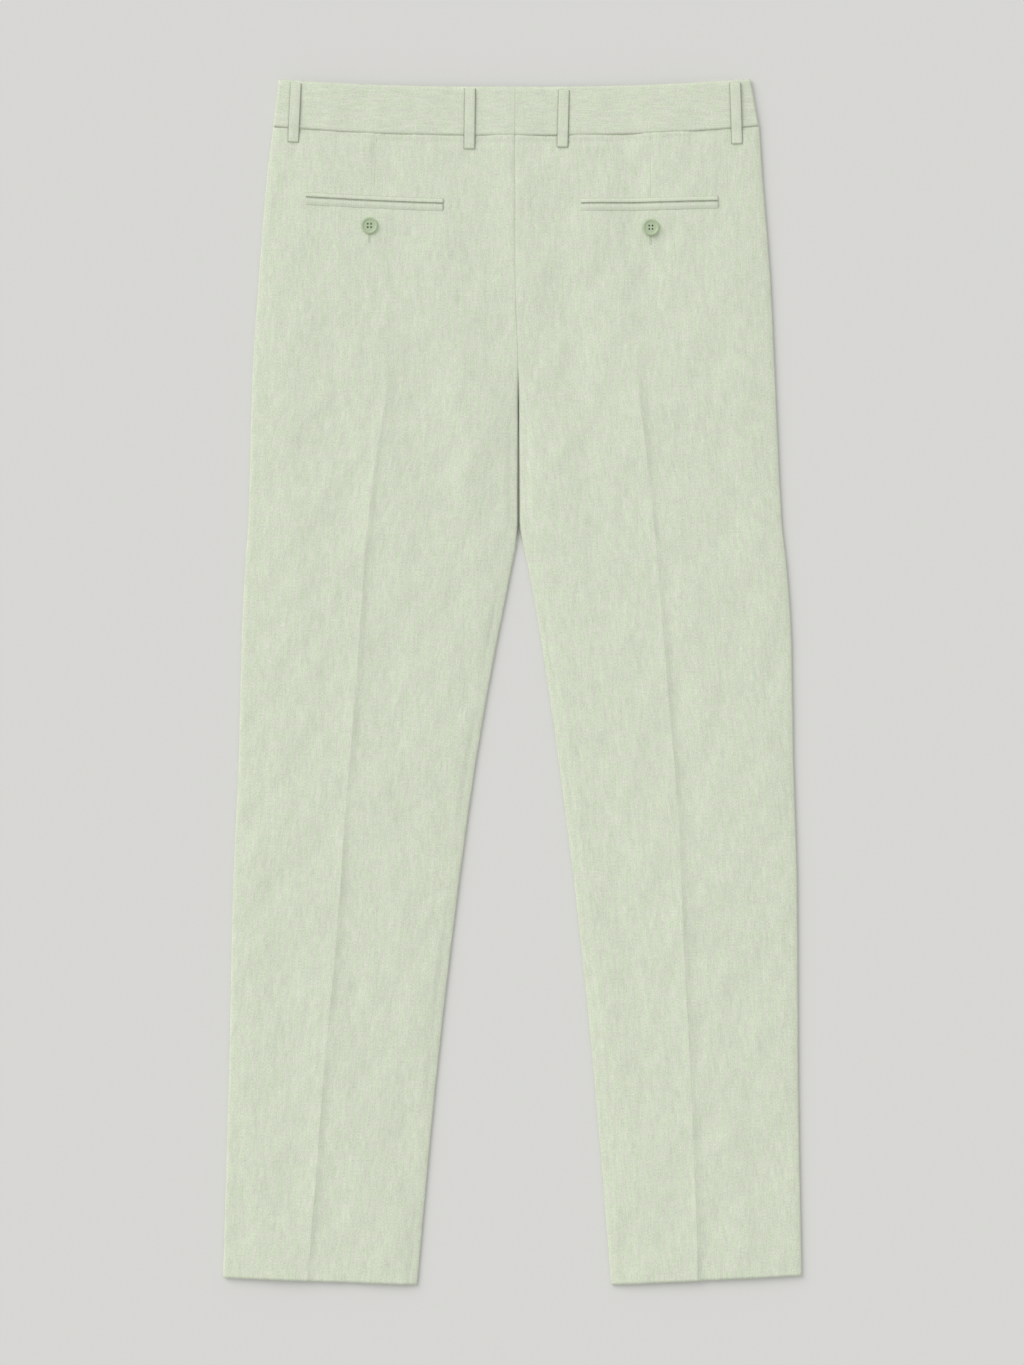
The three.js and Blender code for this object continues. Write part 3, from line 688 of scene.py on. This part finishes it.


# path is the middle line in XY and heights the underside along it; edges thins each long edge, and the last
# argument sets the painted shade along each long edge
def roundedStrip(name, path, acrossUnit, width, wall, heights, grain, arch, edges=(1, 1), paintedShades=(1, 1)):
    corner = min(loopSizes["corner"], width * 0.2)
    places = [-1, -1 + 0.35 * corner / width, -1 + corner / width, -1 + 2 * corner / width]
    places += list(np.linspace(places[-1], -places[-1], 6)[1:-1]) + [-v for v in places[::-1]]
    top = []
    for share in places:
        near = max(0.0, abs(share) * width / 2 - (width / 2 - corner)) / corner
        full = wall * (1 - (1 - edges[0 if share < 0 else 1]) * smooth(0, 1, abs(share)))
        top.append((share * width / 2, full * (0.25 + 0.75 * math.sqrt(max(0.0, 1 - near * near)))
                    + arch * (1 - share * share)))
    bottom = [(x, 0.0) for x, _ in reversed(top)]
    section = top + bottom
    # painted shade along both long edges, where they round under
    paintedShadeMasks = [float(smooth(1 - 2 * corner / width, 1 - 0.4 * corner / width, abs(x) / width * 2))
             * (paintedShades[0] if x < 0 else paintedShades[1]) for x, _ in section]
    verts = [(px + acrossUnit[0] * u, py + acrossUnit[1] * u, base + h)
             for (px, py), base in zip(path, heights) for u, h in section]
    count, last = len(section), len(path) - 1
    faces = []
    for i in range(last):
        for j in range(count):
            a, b = i * count + j, i * count + (j + 1) % count
            faces.append((a, b, b + count, a + count))
    faces.append(tuple(range(count))[::-1])
    faces.append(tuple(last * count + j for j in range(count)))
    mesh = bpy.data.meshes.new(name)
    mesh.from_pydata(verts, [], faces)
    layer = mesh.uv_layers.new(name="grain")
    along = np.cumsum([0] + [math.dist(a, b) for a, b in zip(path, path[1:])])
    for poly in mesh.polygons:
        for loopIndex in poly.loop_indices:
            i, j = divmod(mesh.loops[loopIndex].vertex_index, count)
            pair = (section[j][0] + grain["shift"][0], along[i] + grain["shift"][1])
            layer.data[loopIndex].uv = pair if grain["along"] else pair[::-1]
    dipAndPaintedShade = mesh.attributes.new("dipAndPaintedShade", "FLOAT", "POINT")
    dipAndPaintedShade.data.foreach_set("value", paintedShadeMasks * len(path))
    piece = bpy.data.objects.new(name, mesh)
    bpy.context.scene.collection.objects.link(piece)
    fixNormals(piece)
    for poly in mesh.polygons:
        poly.use_smooth = len(poly.vertices) == 4
    return piece


def fixNormals(piece):
    work = bmesh.new()
    work.from_mesh(piece.data)
    bmesh.ops.remove_doubles(work, verts=work.verts, dist=1e-7)
    bmesh.ops.recalc_face_normals(work, faces=work.faces)
    work.to_mesh(piece.data)
    work.free()


def evened(heights, reach):      # a strip of cloth bridges the small steps under it
    padded = np.pad(heights, reach, mode="edge")
    return list(np.convolve(padded, np.ones(2 * reach + 1) / (2 * reach + 1), mode="valid"))


loopSizes = {"width": 0.0103, "wall": 0.0012, "bow": 0.0004, "corner": 0.0011, "steps": 40, "frontWall": 0.0010,
             "frontHeight": 0.002, "endRow": 0.0012, "clear": 0.0002, "settle": 0.00027, "arch": 0.00025}


def beltLoop(node, seed):
    points = verticesOf(node)
    low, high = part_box(node)
    front = high[2] < loopSizes["frontHeight"]
    topRow = points[points[:, 1] > high[1] - loopSizes["endRow"]]
    footRow = points[points[:, 1] < low[1] + loopSizes["endRow"]]
    top = ((topRow[:, 0].min() + topRow[:, 0].max()) / 2, high[1])
    foot = ((footRow[:, 0].min() + footRow[:, 0].max()) / 2, low[1])
    shares = np.linspace(0, 1, loopSizes["steps"] + 1)
    path = [(top[0] + (foot[0] - top[0]) * share, top[1] + (foot[1] - top[1]) * share) for share in shares]
    length = math.dist(top, foot)
    across = ((top[1] - foot[1]) / length, -(top[0] - foot[0]) / length)
    if front:
        heights = [0.0] * len(path)
    else:
        heights = []
        for share, (x, y) in zip(shares, path):
            base = surfaceAt(x, min(y, float(topEdge(x)) - 0.0005)) + loopSizes["clear"]
            ends = bell(share, 0.06) + bell(1 - share, 0.06)
            bow = loopSizes["bow"] * max(0.0, math.sin(math.pi * share)) ** 0.6
            heights.append(base + bow - loopSizes["settle"] * ends)
        heights = evened(heights, 2)
    # the loops take the full painted shade along both long edges
    piece = roundedStrip(node + "_linen", path, across, loopSizes["width"],
                         loopSizes["frontWall" if front else "wall"], heights,
                         {"shift": (seed * 0.37, seed * 0.9), "along": True}, 0.0 if front else loopSizes["arch"])
    finishPiece(piece, linenTrim, [node])


loopNodes = sorted(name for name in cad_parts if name.startswith("belt_loop"))
for seed, node in enumerate(loopNodes):
    beltLoop(node, seed + 1)
print("belt loops made:", len(loopNodes))


# per jet: depth, thinning of each long edge, painted shade along each long edge, and sag
jetSizes = {
    "upper": {"deep": 0.0042, "edges": (1, 0.35), "paintedShades": (0.6, 0.45), "sag": 0.5},
    "lower": {"deep": 0.0064, "edges": (0.15, 1), "paintedShades": (0.2, 0.8), "sag": 0.6},
    "wall": 0.0009, "steps": 90, "offMouth": 0.0003, "bend": 0.0009, "clear": 0.00012, "arch": 0.0001,
}


def pocketJet(sideName, which):
    (x0, y0), (x1, y1) = pocketTable[sideName]["out"], pocketTable[sideName]["in"]
    length = math.dist((x0, y0), (x1, y1))
    up = (-(y1 - y0) / length, (x1 - x0) / length)
    if up[1] < 0:
        up = (-up[0], -up[1])
    jet = jetSizes[which]
    middle = (1 if which == "upper" else -1) * (jet["deep"] / 2 + jetSizes["offMouth"])
    path = []
    for share in np.linspace(0, 1, jetSizes["steps"] + 1):
        off = middle - jetSizes["bend"] * math.sin(math.pi * share) * jet["sag"]
        path.append((x0 + (x1 - x0) * share + up[0] * off, y0 + (y1 - y0) * share + up[1] * off))
    heights = evened([surfaceAt(x, y) + jetSizes["clear"] for x, y in path], 3)
    node = "hip_pocket_" + sideName + "_" + which + "_jet"
    piece = roundedStrip(node + "_linen", path, up, jet["deep"], jetSizes["wall"], heights,
                         {"shift": (len(node) * 0.31, x0 * 3), "along": False}, jetSizes["arch"],
                         jet["edges"], jet["paintedShades"])
    finishPiece(piece, linenTrim, [node])
    return piece


for sideName in sideOf:
    jets = [pocketJet(sideName, which) for which in ("upper", "lower")]


buttonSizes = {"bevel": 0.00022, "segments": 3, "sharp": 28}


def buttonPiece(sideName):
    node = "hip_button_" + sideName
    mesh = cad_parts[node].data.copy()
    piece = bpy.data.objects.new(node + "_resin", mesh)
    bpy.context.scene.collection.objects.link(piece)
    fixNormals(piece)
    soften = piece.modifiers.new("soft edges", "BEVEL")
    soften.width = buttonSizes["bevel"]
    soften.segments = buttonSizes["segments"]
    soften.limit_method = "ANGLE"
    soften.angle_limit = math.radians(buttonSizes["sharp"])
    applyModifiers(piece)
    piece.data.polygons.foreach_set("use_smooth", [True] * len(piece.data.polygons))
    finishPiece(piece, buttonResin, [node])


for sideName in sideOf:
    buttonPiece(sideName)
print("buttons made")

# stitches along a line, each a small rounded thread; all share one tree
stitchSizes = {"share": 17 / 22, "pitch": 0.0022, "radius": 0.00024, "sides": 6, "rings": 4, "sunk": 0.00006}


def buildStitchTree():
    tree = bpy.data.node_groups.new("stitches along a line", "GeometryNodeTree")
    tree.interface.new_socket("Geometry", in_out="INPUT", socket_type="NodeSocketGeometry")
    ids = {}
    for label in ("Pitch", "Length", "Radius"):
        ids[label] = tree.interface.new_socket(label, in_out="INPUT", socket_type="NodeSocketFloat").identifier
    ids["Thread"] = tree.interface.new_socket("Thread", in_out="INPUT", socket_type="NodeSocketMaterial").identifier
    tree.interface.new_socket("Geometry", in_out="OUTPUT", socket_type="NodeSocketGeometry")
    new, link = tree.nodes.new, tree.links.new
    inside, outside = new("NodeGroupInput"), new("NodeGroupOutput")
    curve = new("GeometryNodeMeshToCurve")
    link(inside.outputs["Geometry"], curve.inputs[0])
    spread = new("GeometryNodeCurveToPoints")
    spread.mode = "LENGTH"
    link(curve.outputs[0], spread.inputs["Curve"])
    link(inside.outputs["Pitch"], spread.inputs["Length"])
    body = new("GeometryNodeMeshUVSphere")
    body.inputs["Segments"].default_value = stitchSizes["sides"]
    body.inputs["Rings"].default_value = stitchSizes["rings"]
    body.inputs["Radius"].default_value = 1.0
    half = new("ShaderNodeMath")
    half.operation = "MULTIPLY"
    half.inputs[1].default_value = 0.5
    link(inside.outputs["Length"], half.inputs[0])
    size = new("ShaderNodeCombineXYZ")
    link(inside.outputs["Radius"], size.inputs[0])
    link(inside.outputs["Radius"], size.inputs[1])
    link(half.outputs[0], size.inputs[2])
    place = new("GeometryNodeInstanceOnPoints")
    link(spread.outputs["Points"], place.inputs["Points"])
    link(body.outputs["Mesh"], place.inputs["Instance"])
    aim = new("FunctionNodeAlignRotationToVector")
    aim.axis = "Z"
    link(spread.outputs["Tangent"], aim.inputs["Vector"])
    link(aim.outputs[0], place.inputs["Rotation"])
    link(size.outputs[0], place.inputs["Scale"])
    real = new("GeometryNodeRealizeInstances")
    link(place.outputs[0], real.inputs[0])
    smoothAll = new("GeometryNodeSetShadeSmooth")
    link(real.outputs[0], smoothAll.inputs[0])
    paint = new("GeometryNodeSetMaterial")
    link(smoothAll.outputs[0], paint.inputs["Geometry"])
    link(inside.outputs["Thread"], paint.inputs["Material"])
    link(paint.outputs[0], outside.inputs[0])
    return tree, ids


stitchTree, stitchIds = buildStitchTree()


def stitchPiece(name, lines, heightOf, pitch=stitchSizes["pitch"], radius=stitchSizes["radius"], look=threadLook):
    verts, edges = [], []
    for line in lines:
        start = len(verts)
        verts += [(x, y, heightOf(x, y)) for x, y in line]
        edges += [(start + k, start + k + 1) for k in range(len(line) - 1)]
    mesh = bpy.data.meshes.new(name)
    mesh.from_pydata(verts, edges, [])
    piece = bpy.data.objects.new(name, mesh)
    bpy.context.scene.collection.objects.link(piece)
    run = piece.modifiers.new("stitches", "NODES")
    run.node_group = stitchTree
    run[stitchIds["Pitch"]] = pitch
    run[stitchIds["Length"]] = pitch * stitchSizes["share"]
    run[stitchIds["Radius"]] = radius
    run[stitchIds["Thread"]] = look
    applyModifiers(piece)
    finishPiece(piece, look)
    print(name, len(piece.data.polygons), "faces")


def straight(start, end, count):
    return [(start[0] + (end[0] - start[0]) * k / count, start[1] + (end[1] - start[1]) * k / count)
            for k in range(count + 1)]


def onBack(x, y):
    return surfaceAt(x, y) - stitchSizes["sunk"]


runSizes = {
    "dart": {"left": ((-0.1220, 0.4885), (-0.1246, 0.4365)), "right": ((0.1239, 0.4885), (0.1239, 0.4365)),
             "count": 40, "lift": 0.00004, "pitch": 0.0012, "radius": 0.00022},
    "tack": {"above": 0.0042, "below": 0.0064, "count": 12, "lift": 0.0, "pitch": 0.0009, "radius": 0.00022},
    "tail": {"across": (-0.0006, 0.0004), "from": 0.0072, "to": 0.0150, "count": 10,
             "lift": 0.00005, "pitch": 0.0008, "radius": 0.00022},
    "hole": {"off": 0.0015, "half": 0.00045, "count": 3, "lift": 0.0012, "pitch": 0.0003, "radius": 0.00055},
}
dartRuns, tackRuns, tailRuns, holeRuns = [], [], [], []
for sideName in sideOf:
    dart, tack, tail, hole = (runSizes[name] for name in ("dart", "tack", "tail", "hole"))
    dartRuns.append(straight(*dart[sideName], dart["count"]))
    for end in ("out", "in"):
        x, y = pocketTable[sideName][end]
        tackRuns.append(straight((x, y + tack["above"]), (x, y - tack["below"]), tack["count"]))
    bx, by = pocketTable[sideName]["button"]
    for off in tail["across"]:
        tailRuns.append(straight((bx + off, by - tail["from"]), (bx + off, by - tail["to"]), tail["count"]))
    for hx in (-hole["off"], hole["off"]):
        for hy in (-hole["off"], hole["off"]):
            holeRuns.append(straight((bx + hx - hole["half"], by + hy), (bx + hx + hole["half"], by + hy),
                                     hole["count"]))
for name, key, runs, look in (("dart_seams", "dart", dartRuns, threadLook),
                              ("pocket_end_tacks", "tack", tackRuns, threadLook),
                              ("buttonhole_ends", "tail", tailRuns, seamShade),
                              ("button_threads", "hole", holeRuns, seamShade)):
    row = runSizes[key]
    stitchPiece(name, runs, lambda x, y: onBack(x, y) + row["lift"], row["pitch"], row["radius"], look)

flyStitch = {"in": 0.030, "from": 0.479, "straightTo": 0.345, "foot": 0.308, "past": 0.002, "height": 0.00030}
flyCentre = float(edgeAt("left", "inner", 0.40))
flyX = flyCentre - flyStitch["in"]
flyLine = straight((flyX, flyStitch["from"]), (flyX, flyStitch["straightTo"]), 40)
for k in range(1, 21):      # the curve of the fly stitching down to the crotch seam
    turn = k / 20 * math.pi / 2
    flyLine.append((flyCentre + flyStitch["past"] - (flyStitch["in"] + flyStitch["past"]) * math.cos(turn),
                    flyStitch["straightTo"] - (flyStitch["straightTo"] - flyStitch["foot"]) * math.sin(turn)))
stitchPiece("fly_stitching", [flyLine], lambda x, y: flyStitch["height"])

for node, look in {"fly_zip": zipLook, "fly_shield": threadLook}.items():      # these keep their own meshes
    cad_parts[node].data.materials.clear()
    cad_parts[node].data.materials.append(look)
print("fly finished")

stageLook = {"floor": (0.80, 0.795, 0.775, 1.0), "floorHalf": 6.0, "floorDrop": 0.0002,
             "key": 1.38, "fill": 0.598, "softness": 44, "from": 138, "elevation": 35,
             "eye": (-0.00035, -0.0004, 2.6), "frameHeight": 1.2285, "sensor": 24.0}


def buildStage():
    half = stageLook["floorHalf"]
    mesh = bpy.data.meshes.new("floor")
    mesh.from_pydata([(-half, -half, 0), (half, -half, 0), (half, half, 0), (-half, half, 0)], [], [(0, 1, 2, 3)])
    floor = bpy.data.objects.new("floor", mesh)
    bpy.context.scene.collection.objects.link(floor)
    floor.location.z = -stageLook["floorDrop"]
    paper = bpy.data.materials.new("floor paper")
    paper.use_nodes = True
    shader = paper.node_tree.nodes["Principled BSDF"]
    shader.inputs["Base Color"].default_value = stageLook["floor"]
    shader.inputs["Roughness"].default_value = 1.0
    shader.inputs["Specular IOR Level"].default_value = 0.0
    mesh.materials.append(paper)

    world = bpy.data.worlds.new("studio")
    bpy.context.scene.world = world
    world.use_nodes = True
    sky = world.node_tree.nodes["Background"]
    sky.inputs["Color"].default_value = (1, 1, 1, 1)
    sky.inputs["Strength"].default_value = stageLook["fill"]

    lamp = bpy.data.lights.new("window light", "SUN")
    lamp.angle = math.radians(stageLook["softness"])
    lamp.energy = stageLook["key"]
    key = bpy.data.objects.new("window light", lamp)
    turn, tall = math.radians(stageLook["from"]), math.radians(stageLook["elevation"])
    key.location = (2 * math.cos(turn), 2 * math.sin(turn), 2 * math.tan(tall))
    key.rotation_euler = (-key.location).to_track_quat("-Z", "Y").to_euler()
    bpy.context.scene.collection.objects.link(key)

    camera = bpy.data.cameras.new("camera")
    camera.sensor_fit = "VERTICAL"
    camera.sensor_height = stageLook["sensor"]
    camera.lens = stageLook["sensor"] * stageLook["eye"][2] / stageLook["frameHeight"]
    eye = bpy.data.objects.new("camera", camera)
    eye.location = stageLook["eye"]
    bpy.context.scene.collection.objects.link(eye)
    bpy.context.scene.camera = eye
    bpy.context.scene.view_settings.view_transform = "Standard"


buildStage()
print("stage set")
